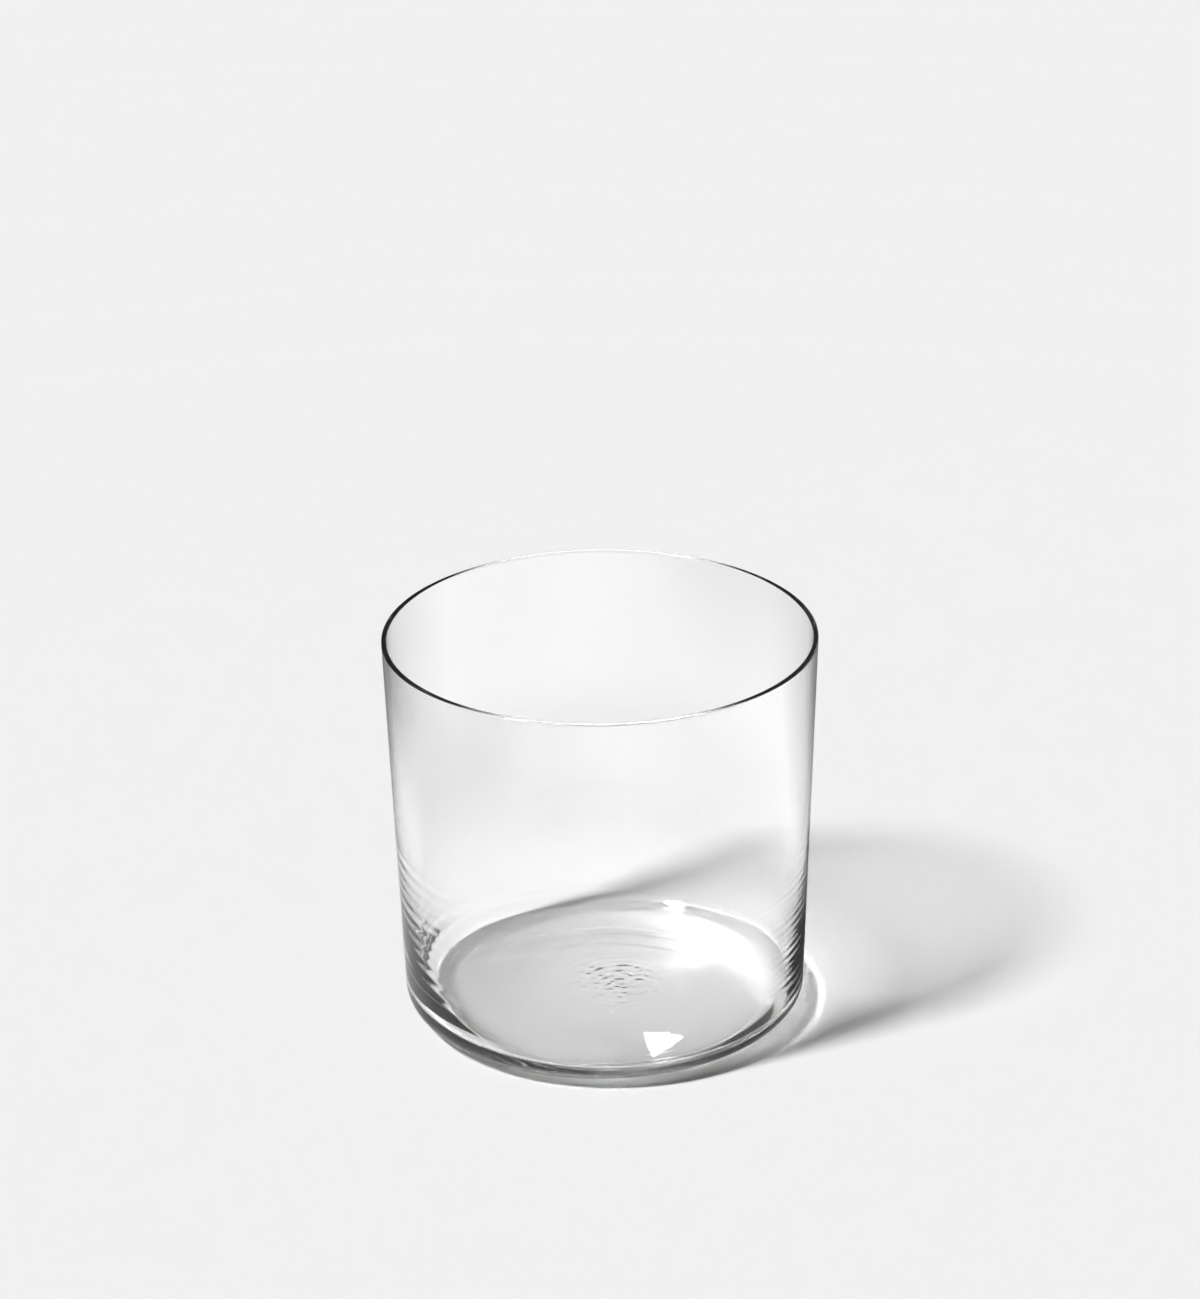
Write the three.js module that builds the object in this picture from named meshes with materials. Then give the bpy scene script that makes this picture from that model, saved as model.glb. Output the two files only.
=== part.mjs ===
// Cider glass: a straight-sided drinking tumbler, blown in a mould from one gather of clear glass.
// Millimetres, +Z up. The origin is the centre of the ring that the glass stands on.
import * as THREE from "three";

// Outside
const HEIGHT = 84.5; // table to the top of the rim
const RIM_DIAMETER = 90; // outside, at the rim
const FOOT_DIAMETER = 83.5; // outside, where the line of the wall would meet the table
const HEEL_WIDTH = 10.5; // round edge between the wall and the standing ring, from side to side
const HEEL_HEIGHT = 6; // the same edge, from the table up

// Underside
const STANDING_RING_WIDTH = 3; // flat ring of glass that touches the table
const PUNT_RISE = 1.2; // how far the middle of the underside is pushed up

// Wall and floor
const WALL = 1.1; // wall and rim, from the rim down to the flare
const FLARE_HEIGHT = 40.5; // below this height the wall thickens towards the floor
const FLARE_LEAN = 5.4; // degrees that the inside wall leans in, where it meets the floor's corner
const FLOOR_HEIGHT = 3.7; // table to the inside floor
const FLOOR_CORNER_RADIUS = 3; // round corner between the inside wall and the floor

// The bubble of air settled off the axis as the glass was blown, so low down the wall is thickest at one side, -X
const SIDE_SHIFT = 3.4; // how far the inside stands in at that side, at the floor
const SETTLE_HEIGHT = 40.5; // above this height the inside is round the axis
const SETTLE_POWER = 8; // how quickly it moves in towards the floor

// Facets
const SIDES = 72; // round the axis
const ARC_STEP = THREE.MathUtils.degToRad(15); // turn of the outline between two points of an arc
const FLARE_STEPS = 12; // points along the flare of the wall
const PUNT_STEPS = 3; // rings across the underside

// Points on a curve about (radius, height), from one angle to another, both ends included: a part of a circle,
// or of an ellipse where the two half-axes differ.
function arc(centre, halfWidth, halfHeight, from, to) {
  const steps = Math.ceil(Math.abs(to - from) / ARC_STEP);
  return Array.from({ length: steps + 1 }, (_, i) => {
    const angle = THREE.MathUtils.lerp(from, to, i / steps);
    return new THREE.Vector2(centre.x + halfWidth * Math.cos(angle), centre.y + halfHeight * Math.sin(angle));
  });
}

// Half the glass cut through its axis, as (radius, height): the outer outline runs from the middle of the
// underside round the rim, and the inner one from the flare down to the middle of the floor.
// The wall leans out at a steady slope. The heel, the rim and the floor's corner are arcs that run into it.
function outlines() {
  const slope = (RIM_DIAMETER - FOOT_DIAMETER) / 2 / HEIGHT;
  const lean = Math.atan(slope);
  const outside = (z) => FOOT_DIAMETER / 2 + slope * z;
  const across = (thickness) => thickness / Math.cos(lean); // a thickness square to the wall, measured level

  const heelEnd = Math.atan((slope * HEEL_HEIGHT) / HEEL_WIDTH); // where the heel runs into the wall
  const heelTop = HEEL_HEIGHT * (1 - Math.sin(heelEnd));
  const heel = new THREE.Vector2(outside(heelTop) - HEEL_WIDTH * Math.cos(heelEnd), HEEL_HEIGHT);
  const ringInside = heel.x - STANDING_RING_WIDTH;
  const underside = Array.from({ length: PUNT_STEPS + 1 }, (_, i) => {
    const share = i / PUNT_STEPS;
    return new THREE.Vector2(ringInside * share, PUNT_RISE * (1 - share * share));
  });

  const rimRadius = WALL / 2;
  const rimHeight = HEIGHT - rimRadius;
  const rim = new THREE.Vector2(outside(rimHeight) - across(rimRadius), rimHeight);

  // The flare is a parabola, which leaves the even wall smoothly and ends at the flare's lean.
  const flareLean = THREE.MathUtils.degToRad(FLARE_LEAN);
  const cornerTop = FLOOR_HEIGHT + FLOOR_CORNER_RADIUS * (1 - Math.sin(flareLean));
  const flareLength = FLARE_HEIGHT - cornerTop;
  const flareGain = ((Math.tan(flareLean) - slope) * flareLength) / 2;
  const inside = (z) => {
    const share = Math.max(0, (FLARE_HEIGHT - z) / flareLength);
    return outside(z) - across(WALL) - flareGain * share * share;
  };
  const flare = Array.from({ length: FLARE_STEPS }, (_, i) => {
    const z = FLARE_HEIGHT - (flareLength * i) / FLARE_STEPS;
    return new THREE.Vector2(inside(z), z);
  });
  const corner = new THREE.Vector2(
    inside(cornerTop) - FLOOR_CORNER_RADIUS * Math.cos(flareLean),
    FLOOR_HEIGHT + FLOOR_CORNER_RADIUS,
  );

  return {
    outer: [
      ...underside,
      ...arc(heel, HEEL_WIDTH, HEEL_HEIGHT, -Math.PI / 2, -heelEnd),
      ...arc(rim, rimRadius, rimRadius, -lean, Math.PI - lean),
    ],
    inner: [
      ...flare,
      ...arc(corner, FLOOR_CORNER_RADIUS, FLOOR_CORNER_RADIUS, -flareLean, -Math.PI / 2),
      new THREE.Vector2(0, FLOOR_HEIGHT),
    ],
  };
}

// The outlines turned about the axis. Below the settling height the inside moves towards +X little by little,
// most of all at the thick side and not at all at the other.
function glassGeometry() {
  const { outer, inner } = outlines();
  const outline = [...outer, ...inner];
  const turned = new THREE.LatheGeometry(outline, SIDES);
  const position = turned.getAttribute("position");
  for (let i = 0; i < position.count; i++) {
    const isInside = i % outline.length >= outer.length;
    if (!isInside) continue; // the outside and the rim stay round the axis
    const depth = (SETTLE_HEIGHT - position.getY(i)) / (SETTLE_HEIGHT - FLOOR_HEIGHT);
    const x = position.getX(i);
    const thickness = (1 - x / (FOOT_DIAMETER / 2)) / 2; // 1 at the thick side, 0 at the other
    position.setX(i, x + SIDE_SHIFT * thickness * Math.max(0, depth) ** SETTLE_POWER);
  }
  return turned.rotateX(Math.PI / 2);
}

const clearGlass = new THREE.MeshStandardMaterial({
  name: "clear_glass",
  color: 0xeef2f1,
  roughness: 0.02,
  metalness: 0,
  transparent: true,
  opacity: 0.35,
});

const glass = new THREE.Mesh(glassGeometry(), clearGlass);
glass.name = "glass";

const ciderGlass = new THREE.Group();
ciderGlass.name = "cider_glass";
ciderGlass.add(glass);

export default ciderGlass;
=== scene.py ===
"""A clear, mould-blown cider glass standing on a pale floor in soft studio light."""
import math

import bpy
import numpy as np
from mathutils import Matrix, Vector


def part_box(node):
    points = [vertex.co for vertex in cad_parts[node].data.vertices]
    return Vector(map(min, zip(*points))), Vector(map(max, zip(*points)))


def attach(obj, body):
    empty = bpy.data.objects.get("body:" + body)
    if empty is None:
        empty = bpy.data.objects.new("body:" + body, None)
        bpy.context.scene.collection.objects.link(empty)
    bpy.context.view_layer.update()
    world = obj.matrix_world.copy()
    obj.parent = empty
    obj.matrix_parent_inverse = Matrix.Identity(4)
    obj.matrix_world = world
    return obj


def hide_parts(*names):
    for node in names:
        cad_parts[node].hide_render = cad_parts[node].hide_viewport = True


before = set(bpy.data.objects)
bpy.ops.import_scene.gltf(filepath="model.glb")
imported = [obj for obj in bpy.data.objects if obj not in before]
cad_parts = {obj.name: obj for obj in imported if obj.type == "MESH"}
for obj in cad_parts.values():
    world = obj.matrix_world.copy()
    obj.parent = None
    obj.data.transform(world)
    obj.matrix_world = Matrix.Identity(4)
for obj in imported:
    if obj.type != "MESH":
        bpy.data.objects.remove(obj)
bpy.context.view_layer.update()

# The glass: floor, heel, wall and rim are one piece of clear soda-lime glass, blown in a mould and
# fire-polished at the rim. The outside is true to the mould, while the air inside settled to one side.
# The hot wall ran into faint ripples low down, and the underside kept turning rings and pits of the mould.
low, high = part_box("glass")
HEIGHT = high.z - low.z
RIM_RADIUS = high.x
FOOT_RADIUS = 0.04175
HEEL_WIDTH = 0.0105
HEEL_HEIGHT = 0.006
RING_WIDTH = 0.003
PUNT_RISE = 0.0012
WALL = 0.0011
FLARE_HEIGHT = 0.0405
FLARE_LEAN = math.radians(5.4)
FLOOR_HEIGHT = 0.0037
CORNER_RADIUS = 0.003
SIDE_SHIFT = 0.0034
SETTLE_HEIGHT = 0.0405
SETTLE_POWER = 8
SIDES = 240
FINE_SHARE = 0.45
UNDERSIDE_FINE_ROWS = 44
UNDERSIDE_WIDE_ROWS = 20
HEEL_ROWS = 26
OUTER_WALL_ROWS = 24
RIM_ROWS = 17
EVEN_WALL_ROWS = 12
FLARE_ROWS = 120
CORNER_ROWS = 24
FLOOR_ROWS = 20
EDGE_STEP = 0.00005

# Ripples inside the wall, at the left (-1) and right (1): wavelength, size, phase and side of each
RIPPLE_TOP = 0.066
RIPPLE_FULL = 0.018
RIPPLE_BOTTOM = 0.0085
RIPPLE_FADE = RIPPLE_BOTTOM / 2
RIPPLE_SIDE = 0.55
RIPPLE_SPREAD = 0.35
RIPPLES = (
    (0.0027, 0.000011, 0.4, -1),
    (0.0035, 0.000007, 2.1, -1),
    (0.0017, 0.000005, 4.0, 1),
    (0.0022, 0.000004, 1.0, 1),
)

# Turning rings and pits, both round a point a little off the axis
MARKS_MIDDLE = (0.0035, -0.0005)
MARKS_REACH = 0.019
MARKS_EDGE = MARKS_REACH / 3
TURNING_FADE = MARKS_REACH / 2
TURNING_PITCH = 0.0021
TURNING_DEPTH = 0.000014
PITS = 150
PITS_SPREAD = 0.0046
PIT_WIDTH = (0.0004, 0.0009)
PIT_DEPTH = (0.00003, 0.00009)
PIT_SEED = 5


def arc(centre, half_axes, start, end, count):
    """Points from start to end on an ellipse of these half-axes about centre (radius, height)."""
    angle = np.linspace(start, end, count)
    radius = centre[0] + half_axes[0] * np.cos(angle)
    height = centre[1] + half_axes[1] * np.sin(angle)
    return np.column_stack((radius, height))


def outlines():
    """Half the glass cut through its axis, as two rows of points (radius, height).

    The wall leans out at a steady slope. A quarter ellipse makes the heel and half a circle the rim, both
    touching that slope. A parabola thickens the wall downwards, a quarter circle turns it into the floor,
    and the underside is a shallow parabola.
    """
    slope = (RIM_RADIUS - FOOT_RADIUS) / HEIGHT
    lean = math.atan(slope)
    level = 1 / math.cos(lean)
    heel_end = math.atan(slope * HEEL_HEIGHT / HEEL_WIDTH)
    heel_top = HEEL_HEIGHT * (1 - math.sin(heel_end))
    heel = (FOOT_RADIUS + slope * heel_top - HEEL_WIDTH * math.cos(heel_end), HEEL_HEIGHT)
    ring_inside = heel[0] - RING_WIDTH
    fine = np.linspace(0, FINE_SHARE, UNDERSIDE_FINE_ROWS)[1:]
    wide = np.linspace(FINE_SHARE, 1, UNDERSIDE_WIDE_ROWS)[1:]
    share = np.concatenate((fine, wide))
    underside = np.column_stack((ring_inside * share, PUNT_RISE * (1 - share ** 2)))
    rim_z = HEIGHT - WALL / 2
    rim = (FOOT_RADIUS + slope * rim_z - WALL / 2 * level, rim_z)
    corner_top = FLOOR_HEIGHT + CORNER_RADIUS * (1 - math.sin(FLARE_LEAN))
    length = FLARE_HEIGHT - corner_top
    gain = (math.tan(FLARE_LEAN) - slope) * length / 2

    def inside(z):
        fall = np.maximum(0, (FLARE_HEIGHT - z) / length)
        return FOOT_RADIUS + slope * z - WALL * level - gain * fall ** 2

    rim_bottom = rim_z - WALL / 2 * math.sin(lean)
    outer_z = np.linspace(heel_top + EDGE_STEP, rim_bottom - EDGE_STEP, OUTER_WALL_ROWS)
    even_z = np.linspace(rim_z - EDGE_STEP, FLARE_HEIGHT, EVEN_WALL_ROWS)[:-1]
    flare_z = np.linspace(FLARE_HEIGHT, corner_top, FLARE_ROWS)[:-1]
    inner_z = np.concatenate((even_z, flare_z))
    corner = (inside(corner_top) - CORNER_RADIUS * math.cos(FLARE_LEAN), FLOOR_HEIGHT + CORNER_RADIUS)
    floor_r = np.linspace(corner[0] - EDGE_STEP, 0, FLOOR_ROWS)[:-1]
    outer = np.concatenate((
        underside,
        arc(heel, (HEEL_WIDTH, HEEL_HEIGHT), -math.pi / 2, -heel_end, HEEL_ROWS),
        np.column_stack((FOOT_RADIUS + slope * outer_z, outer_z)),
        arc(rim, (WALL / 2, WALL / 2), -lean, math.pi - lean, RIM_ROWS),
    ))
    inner = np.concatenate((
        np.column_stack((inside(inner_z), inner_z)),
        arc(corner, (CORNER_RADIUS, CORNER_RADIUS), -FLARE_LEAN, -math.pi / 2, CORNER_ROWS),
        np.column_stack((floor_r, np.full_like(floor_r, FLOOR_HEIGHT))),
    ))
    return outer, inner


def smooth(value):
    """A smooth step: 0 below 0, 1 above 1, and between them three squares of the value less two cubes."""
    value = np.clip(value, 0, 1)
    return value * value * (3 - 2 * value)


def rippled(z, angle):
    """How far the inside of the wall stands in: a sum of sine waves up the wall, nearly level, each at its
    own side, which grow from the top of the ripples downwards and end above the corner of the floor."""
    strength = np.clip((RIPPLE_TOP - z) / (RIPPLE_TOP - RIPPLE_FULL), 0, 1)
    strength = strength * smooth((z - RIPPLE_BOTTOM) / RIPPLE_FADE)
    waves = sum(size * np.sin(2 * math.pi * z / pitch + phase + angle)
                * smooth((side * np.cos(angle) - RIPPLE_SIDE) / RIPPLE_SPREAD)
                for pitch, size, phase, side in RIPPLES)
    return strength * waves


def marked(x, y):
    """How far the underside is dented: a cosine of the distance from the middle of the marks, which fades
    outwards, and round pits, each a bell curve, scattered about that middle."""
    away = np.hypot(x - MARKS_MIDDLE[0], y - MARKS_MIDDLE[1])
    turning = TURNING_DEPTH * np.cos(2 * math.pi * away / TURNING_PITCH)
    turning = turning * smooth((MARKS_REACH - away) / TURNING_FADE)
    chance = np.random.default_rng(PIT_SEED)
    place = chance.normal(MARKS_MIDDLE, PITS_SPREAD, (PITS, 2))
    width = chance.uniform(*PIT_WIDTH, PITS)
    depth = chance.uniform(*PIT_DEPTH, PITS)
    square = (x[..., None] - place[:, 0]) ** 2 + (y[..., None] - place[:, 1]) ** 2
    return turning + (depth * np.exp(-square / width ** 2)).sum(axis=-1)


def turned(outer, inner):
    """Both outlines turned about the axis, one ring of points per row, as an array (rows, sides, 3).

    The inside moves over along X by a power of its depth below the settling height, most of all at the
    left and not at all at the right, so that the wall is thickest low down at the left.
    """
    rows = np.concatenate((outer, inner))
    angle = np.linspace(0, 2 * math.pi, SIDES, endpoint=False)
    z = np.broadcast_to(rows[:, 1:], (len(rows), SIDES))
    inside = np.arange(len(rows))[:, None] >= len(outer)
    radius = rows[:, :1] - np.where(inside, rippled(z, angle), 0)
    x = radius * np.cos(angle)
    y = radius * np.sin(angle)
    depth = np.maximum(0, (SETTLE_HEIGHT - z) / (SETTLE_HEIGHT - FLOOR_HEIGHT))
    leftward = (1 - x / FOOT_RADIUS) / 2
    x = x + np.where(inside, SIDE_SHIFT * leftward * depth ** SETTLE_POWER, 0)
    under = (UNDERSIDE_FINE_ROWS - 1) + (UNDERSIDE_WIDE_ROWS - 1)
    dents = np.zeros_like(x)
    fade = smooth((MARKS_REACH - radius[:under]) / MARKS_EDGE)
    dents[:under] = marked(x[:under], y[:under]) * fade
    return np.stack((x, y, z + dents), axis=-1)


def closed_mesh(name, rings, first_pole, last_pole):
    """A closed mesh from rings of points, with quads between rings and a fan of triangles at each pole."""
    rows, sides, _ = rings.shape
    points = np.concatenate((rings.reshape(-1, 3), [first_pole, last_pole]))
    row, side = np.meshgrid(np.arange(rows - 1), np.arange(sides), indexing="ij")
    after = (side + 1) % sides
    quads = np.stack((row * sides + side, row * sides + after,
                      (row + 1) * sides + after, (row + 1) * sides + side), axis=-1).reshape(-1, 4)
    edge = np.arange(sides)
    beyond = (edge + 1) % sides
    top = (rows - 1) * sides
    fans = np.concatenate((
        np.stack((np.full(sides, rows * sides), beyond, edge), axis=-1),
        np.stack((np.full(sides, rows * sides + 1), top + edge, top + beyond), axis=-1),
    ))
    mesh = bpy.data.meshes.new(name)
    mesh.from_pydata(points.tolist(), [], quads.tolist() + fans.tolist())
    mesh.shade_smooth()
    mesh.validate()
    return mesh


class Socket:
    """A node's output with the usual signs of arithmetic, each of which adds a Math node to its tree."""

    def __init__(self, tree, socket=None):
        self.tree = tree
        self.socket = socket

    def add(self, kind, settings=None, inputs=None, output=0):
        """Adds a node of that type with these settings, fills or links its inputs, and gives an output."""
        node = self.tree.nodes.new(kind)
        for name, value in (settings or {}).items():
            setattr(node, name, value)
        for name, value in (inputs or {}).items():
            if isinstance(value, Socket):
                self.tree.links.new(value.socket, node.inputs[name])
            else:
                node.inputs[name].default_value = value
        return Socket(self.tree, node.outputs[output]) if node.outputs else None

    def maths(self, operation, first, second=0):
        """The result of a Math node on two values or sockets."""
        return self.add("ShaderNodeMath", {"operation": operation}, {0: first, 1: second})

    def __add__(self, other):
        return self.maths("ADD", self, other)

    def __radd__(self, other):
        return self.maths("ADD", other, self)

    def __sub__(self, other):
        return self.maths("SUBTRACT", self, other)

    def __rsub__(self, other):
        return self.maths("SUBTRACT", other, self)

    def __mul__(self, other):
        return self.maths("MULTIPLY", self, other)

    def __rmul__(self, other):
        return self.maths("MULTIPLY", other, self)

    def __gt__(self, other):
        return self.maths("GREATER_THAN", self, other)

    def step(self, start, end):
        """A smooth step from 0 at start to 1 at end."""
        return self.add("ShaderNodeMapRange", {"interpolation_type": "SMOOTHSTEP"},
                        {"Value": self, "From Min": start, "From Max": end})


outer, inner = outlines()
rings = turned(outer, inner)
underside_middle = (0, 0, rings[0, :, 2].mean())
floor_middle = (SIDE_SHIFT / 2, 0, FLOOR_HEIGHT)
glass = bpy.data.objects.new("tumbler", closed_mesh("tumbler", rings, underside_middle, floor_middle))
bpy.context.scene.collection.objects.link(glass)

# Colour and surface: clear with a trace of grey in slow clouds, and a wave too faint to feel
CLEAR = (0.985, 0.985, 0.985, 1)
CLOUDED = (0.97, 0.97, 0.97, 1)
CLOUD_SCALE = 45
WAVE_SCALE = 70
WAVE_HEIGHT = 0.000004
GLASS_INDEX = 1.52
material = bpy.data.materials.new("clear_glass")
material.use_nodes = True
material.node_tree.nodes.clear()
build = Socket(material.node_tree)
place = build.add("ShaderNodeTexCoord", output="Object")
clouds = build.add("ShaderNodeTexNoise", {}, {"Vector": place, "Scale": CLOUD_SCALE})
tint = build.add("ShaderNodeMix", {"data_type": "RGBA"},
                 {"Factor": clouds, "A": CLEAR, "B": CLOUDED}, "Result")
waves = build.add("ShaderNodeTexNoise", {}, {"Vector": place, "Scale": WAVE_SCALE})
surface = build.add("ShaderNodeBump", {}, {"Height": waves, "Strength": 1, "Distance": WAVE_HEIGHT})
shader = build.add("ShaderNodeBsdfPrincipled", {}, {
    "Base Color": tint, "Normal": surface, "Roughness": 0, "IOR": GLASS_INDEX, "Transmission Weight": 1})
build.add("ShaderNodeOutputMaterial", {}, {"Surface": shader})
glass.data.materials.append(material)
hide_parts("glass")
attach(glass, "root")

# The floor: a sheet of pale matt paper under the glass, wide enough to fill the picture.
# It lies a hair below the foot, because two faces in one plane would show a false dark ring.
FLOOR_SIZE = 8
AIR_GAP = 0.00005
PAPER_GREY = 0.893


def lying(side, front, back, height):
    """The corners of a level sheet that reaches as far to the left as to the right."""
    return [(-side, front, height), (side, front, height), (side, back, height), (-side, back, height)]


half = FLOOR_SIZE / 2
floor_mesh = bpy.data.meshes.new("floor")
floor_mesh.from_pydata(lying(half, -half, half, -AIR_GAP), [], [(0, 1, 2, 3)])
floor = bpy.data.objects.new("floor", floor_mesh)
bpy.context.scene.collection.objects.link(floor)
paper = bpy.data.materials.new("pale_paper")
paper.use_nodes = True
paper_shader = paper.node_tree.nodes["Principled BSDF"]
paper_shader.inputs["Base Color"].default_value = (PAPER_GREY, PAPER_GREY, PAPER_GREY, 1)
paper_shader.inputs["Roughness"].default_value = 1
paper_shader.inputs["Specular IOR Level"].default_value = 0
floor.data.materials.append(paper)

# The cards: plain flat sheets that only the glass shows, and that neither light nor shade the floor.
# A black one stands at the left and a dark one lies behind, so that the edges of the wall darken softly.
# A white one lies round the glass, and two windows stand behind, for the highlight on the floor inside.

# Limits for counts of bounces: above the first is one or more, above the second two or more
FIRST = 0.5
SECOND = 1.5

# Brightness, place, edges and fades of each card, and how much of it shows through the glass
BLACK_LEVEL = 0.02
BLACK_PLACE = -0.105
BLACK_FRONT = -0.4
BLACK_BACK = 0.5
BLACK_TOP = 0.085
BLACK_FADE = 0.04
BLACK_THROUGH = 0.7
WHITE_LEVEL = 2
WHITE_FRONT = -0.6
WHITE_END = 0.07
WHITE_FADE = 0.04
WHITE_BACK = 0.5
WHITE_DIM = -0.14
WHITE_FULL = 0.03
WHITE_EASED = 0.15
WHITE_EASE = 0.55
WHITE_SIDE = 0.6
WHITE_THROUGH = 0.55
DARK_LEVEL = 0.2
DARK_FRONT = 0.04
DARK_BACK = 0.5
DARK_SIDE = 0.3
DARK_FADE = 0.12
DARK_THROUGH = 0.7
LIFT = 0.0005
DARK_LIFT = 0.001
CLEAR_NEAR = 0.06
CLEAR_END = 0.12
WINDOW_LEVEL = 8
WINDOW_PLACE = 0.6
WINDOWS = (
    ((0.0173, 0.3575), (0.0305, 0.3555), (0.0305, 0.395), (0.0173, 0.395)),
    ((0.0305, 0.356), (0.042, 0.353), (0.042, 0.3555), (0.0305, 0.3575)),
)


def card(name, corners, level, share):
    """A four-cornered card of this brightness. The function share gives how much of it shows."""
    sheet = bpy.data.materials.new(name)
    sheet.use_nodes = True
    sheet.node_tree.nodes.clear()
    build = Socket(sheet.node_tree)
    shown = 1 - (build.add("ShaderNodeLightPath", output="Diffuse Depth") > FIRST)
    glow = build.add("ShaderNodeEmission", {}, {"Strength": level})
    clear = build.add("ShaderNodeBsdfTransparent")
    mixed = build.add("ShaderNodeMixShader", {}, {"Fac": shown * share(build), 1: clear, 2: glow})
    build.add("ShaderNodeOutputMaterial", {}, {"Surface": mixed})
    mesh = bpy.data.meshes.new(name)
    mesh.from_pydata(corners, [], [(0, 1, 2, 3)])
    mesh.materials.append(sheet)
    made = bpy.data.objects.new(name, mesh)
    made.visible_camera = False
    made.visible_diffuse = False
    made.visible_shadow = False
    bpy.context.scene.collection.objects.link(made)


def along(build, axis):
    """The place on the card along one axis."""
    place = build.add("ShaderNodeTexCoord", output="Object")
    return build.add("ShaderNodeSeparateXYZ", {}, {"Vector": place}, axis)


def once(build):
    """1 for light that the glass has reflected just once, and 0 for other light."""
    reflections = build.add("ShaderNodeLightPath", output="Glossy Depth")
    return (reflections > FIRST) - (reflections > SECOND)


def through(build):
    """1 for light that has also been through the glass, and 0 for other light."""
    return build.add("ShaderNodeLightPath", output="Transmission Depth") > FIRST


def black_share(build):
    """The black card shows in reflections only, fades out downwards, and shows less through the glass."""
    reflected = build.add("ShaderNodeLightPath", output="Glossy Depth") > FIRST
    shown = 1 - through(build) * (1 - BLACK_THROUGH)
    return reflected * shown * along(build, "Z").step(0, BLACK_FADE)


def white_share(build):
    """The white card fades backwards and sideways, less so through the glass, and ends near the foot."""
    place = build.add("ShaderNodeTexCoord", output="Object")
    away = build.add("ShaderNodeVectorMath", {"operation": "LENGTH"}, {0: place}, "Value")
    forward = along(build, "Y").step(WHITE_END, WHITE_END - WHITE_FADE)
    rightward = along(build, "X").step(WHITE_DIM, WHITE_FULL)
    eased = 1 - along(build, "X").step(WHITE_FULL, WHITE_EASED) * WHITE_EASE
    faded = forward * rightward * eased
    shown = faded + (1 - faded) * through(build) * WHITE_THROUGH
    return once(build) * shown * away.step(CLEAR_NEAR, CLEAR_END)


def dark_share(build):
    """The dark card fades out forwards, and shows less through the glass."""
    shown = 1 - through(build) * (1 - DARK_THROUGH)
    return once(build) * shown * along(build, "Y").step(DARK_FRONT, DARK_FRONT + DARK_FADE)


black_edges = ((BLACK_FRONT, 0), (BLACK_BACK, 0), (BLACK_BACK, BLACK_TOP), (BLACK_FRONT, BLACK_TOP))
card("black_card", [(BLACK_PLACE, y, z) for y, z in black_edges], BLACK_LEVEL, black_share)
card("white_card", lying(WHITE_SIDE, WHITE_FRONT, WHITE_BACK, LIFT), WHITE_LEVEL, white_share)
card("dark_card", lying(DARK_SIDE, DARK_FRONT, DARK_BACK, DARK_LIFT), DARK_LEVEL, dark_share)
for pane in WINDOWS:
    card("window", [(x, WINDOW_PLACE, z) for x, z in pane], WINDOW_LEVEL, once)

# The light: one soft key from the left, in front and above, and an even fill, which light the floor.
# The key's mirror images on the floor and its glints from deep inside the glass are left out. In the
# glass the room shows dark, but for a pale ceiling at the end of light that the wall has guided far.
KEY_DIRECTION = Vector((-1.225, -0.798, 1.9)).normalized()
KEY_SHARE = 0.92
KEY_ANGLE = math.radians(9)
THIRD = 2.5
ROOM_LEVEL = 0.03
CEILING_LEVEL = 5
CEILING_START = 0.77
CEILING_END = 0.93
GUIDED = 64
sun_data = bpy.data.lights.new("key", "SUN")
sun_data.energy = KEY_SHARE * math.pi / KEY_DIRECTION.z
sun_data.angle = KEY_ANGLE
sun_data.use_nodes = True
sun_data.node_tree.nodes.clear()
build = Socket(sun_data.node_tree)
scattered = build.add("ShaderNodeLightPath", output="Diffuse Depth") > FIRST
reflections = build.add("ShaderNodeLightPath", output="Glossy Depth")
refracted = build.add("ShaderNodeLightPath", output="Transmission Depth") > THIRD
mirrored = scattered * (reflections > FIRST) * (1 - refracted)
trapped = (1 - scattered) * (reflections > THIRD)
kept = 1 - mirrored - trapped
emission = build.add("ShaderNodeEmission", {}, {"Strength": kept})
build.add("ShaderNodeOutputLight", {}, {"Surface": emission})
sun = bpy.data.objects.new("key", sun_data)
sun.rotation_mode = "QUATERNION"
sun.rotation_quaternion = KEY_DIRECTION.to_track_quat("Z", "Y")
bpy.context.scene.collection.objects.link(sun)
world = bpy.data.worlds.new("studio")
world.use_nodes = True
world.node_tree.nodes.clear()
build = Socket(world.node_tree)
seen = build.add("ShaderNodeLightPath", output="Is Camera Ray")
lit = build.add("ShaderNodeLightPath", output="Diffuse Depth") > FIRST
guided = build.add("ShaderNodeLightPath", output="Glossy Depth") > GUIDED
direction = build.add("ShaderNodeTexCoord", output="Generated")
upward = build.add("ShaderNodeSeparateXYZ", {}, {"Vector": direction}, "Z")
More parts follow.
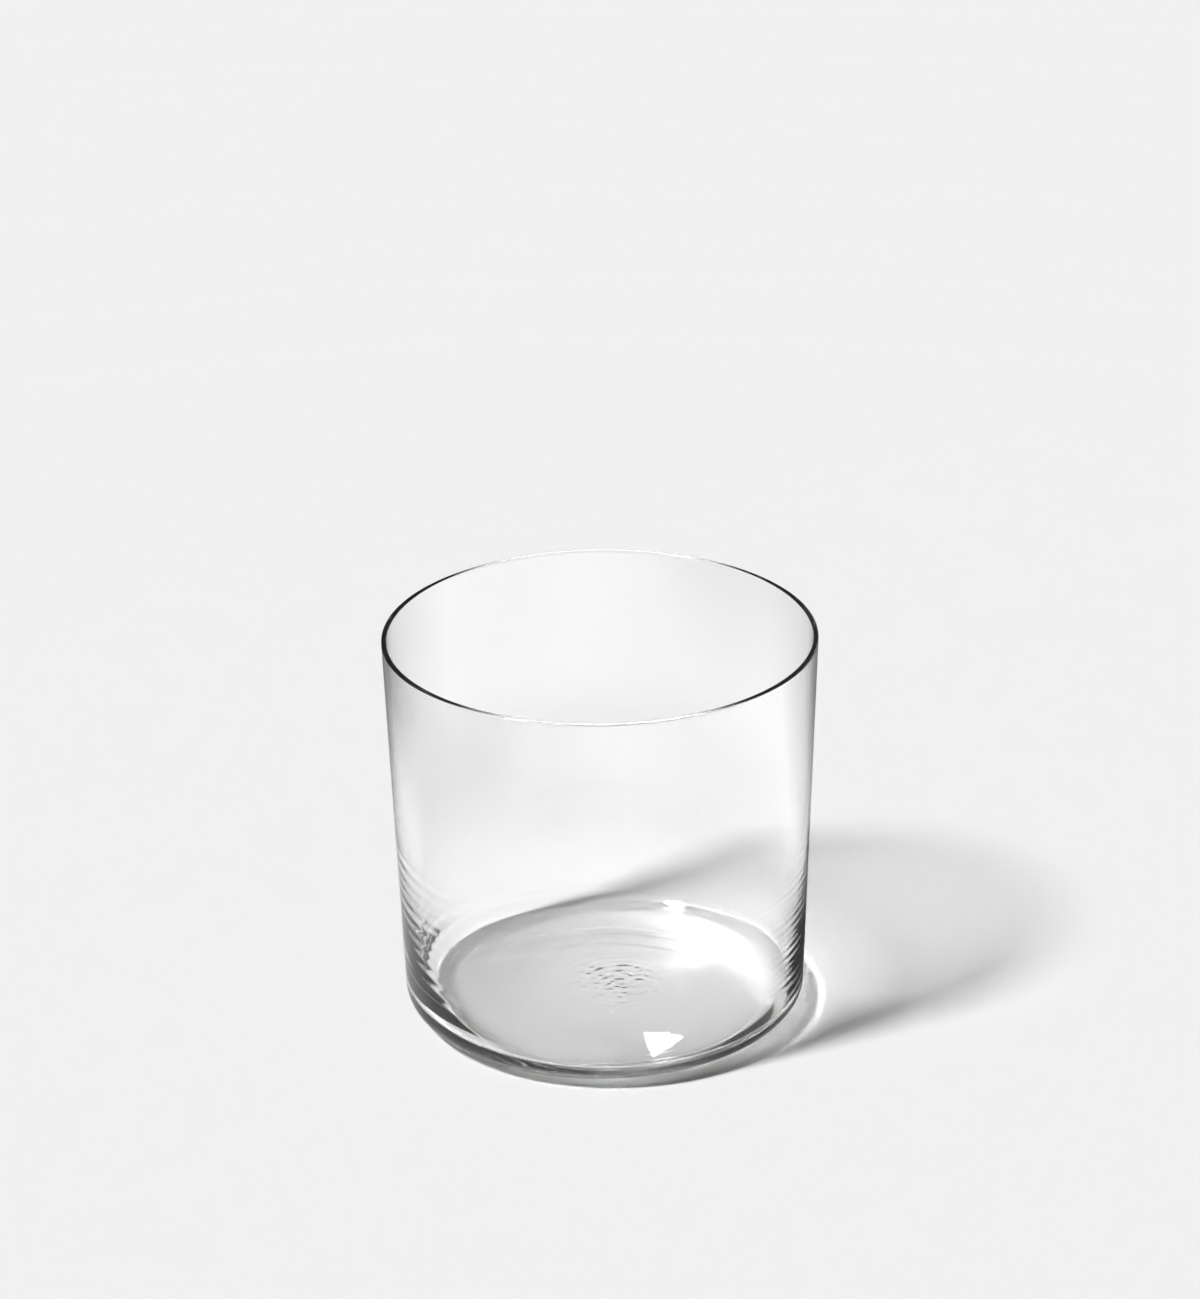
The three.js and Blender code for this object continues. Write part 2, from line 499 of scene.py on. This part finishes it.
ceiling = guided * upward.step(CEILING_START, CEILING_END)
room = ROOM_LEVEL + (CEILING_LEVEL - ROOM_LEVEL) * ceiling
level = lit * (1 - KEY_SHARE) + (1 - lit) * (seen * PAPER_GREY + (1 - seen) * room)
background = build.add("ShaderNodeBackground", {}, {"Strength": level})
build.add("ShaderNodeOutputWorld", {}, {"Surface": background})
bpy.context.scene.world = world

# The camera: a long lens in front of the glass and above it, held with a slight roll. Its place, tilt and
# focal length follow from the outlines of the rim and the foot, in pixels of a picture this high.
PHOTO_HEIGHT = 1299
FOCAL_PIXELS = 5160
SENSOR_WIDTH = 36
CAMERA_PLACE = Vector((0, -0.9712, 0.5111))
CAMERA_PITCH = math.radians(23.8926)
CAMERA_ROLL = math.radians(-0.8243)
camera_data = bpy.data.cameras.new("camera")
camera_data.sensor_width = SENSOR_WIDTH
camera_data.lens = FOCAL_PIXELS / PHOTO_HEIGHT * SENSOR_WIDTH
camera = bpy.data.objects.new("camera", camera_data)
ahead = Vector((0, math.cos(CAMERA_PITCH), -math.sin(CAMERA_PITCH)))
up = Vector((0, math.sin(CAMERA_PITCH), math.cos(CAMERA_PITCH)))
right = Vector((1, 0, 0))
rolled_right = right * math.cos(CAMERA_ROLL) + up * math.sin(CAMERA_ROLL)
rolled_up = up * math.cos(CAMERA_ROLL) - right * math.sin(CAMERA_ROLL)
turn = Matrix((rolled_right, rolled_up, -ahead)).transposed()
camera.matrix_world = Matrix.Translation(CAMERA_PLACE) @ turn.to_4x4()
bpy.context.scene.collection.objects.link(camera)
bpy.context.scene.camera = camera
bpy.context.scene.view_settings.view_transform = "Standard"

# The paths of light: light that the wall guides from the rim to the heel needs many bounces, and the
# bright patch on the floor inside needs them unclamped and sharp.
BOUNCES = 128
cycles = bpy.context.scene.cycles
cycles.sample_clamp_indirect = 0
cycles.blur_glossy = 0
cycles.use_guiding = True
cycles.max_bounces = BOUNCES
cycles.transmission_bounces = BOUNCES
cycles.glossy_bounces = BOUNCES
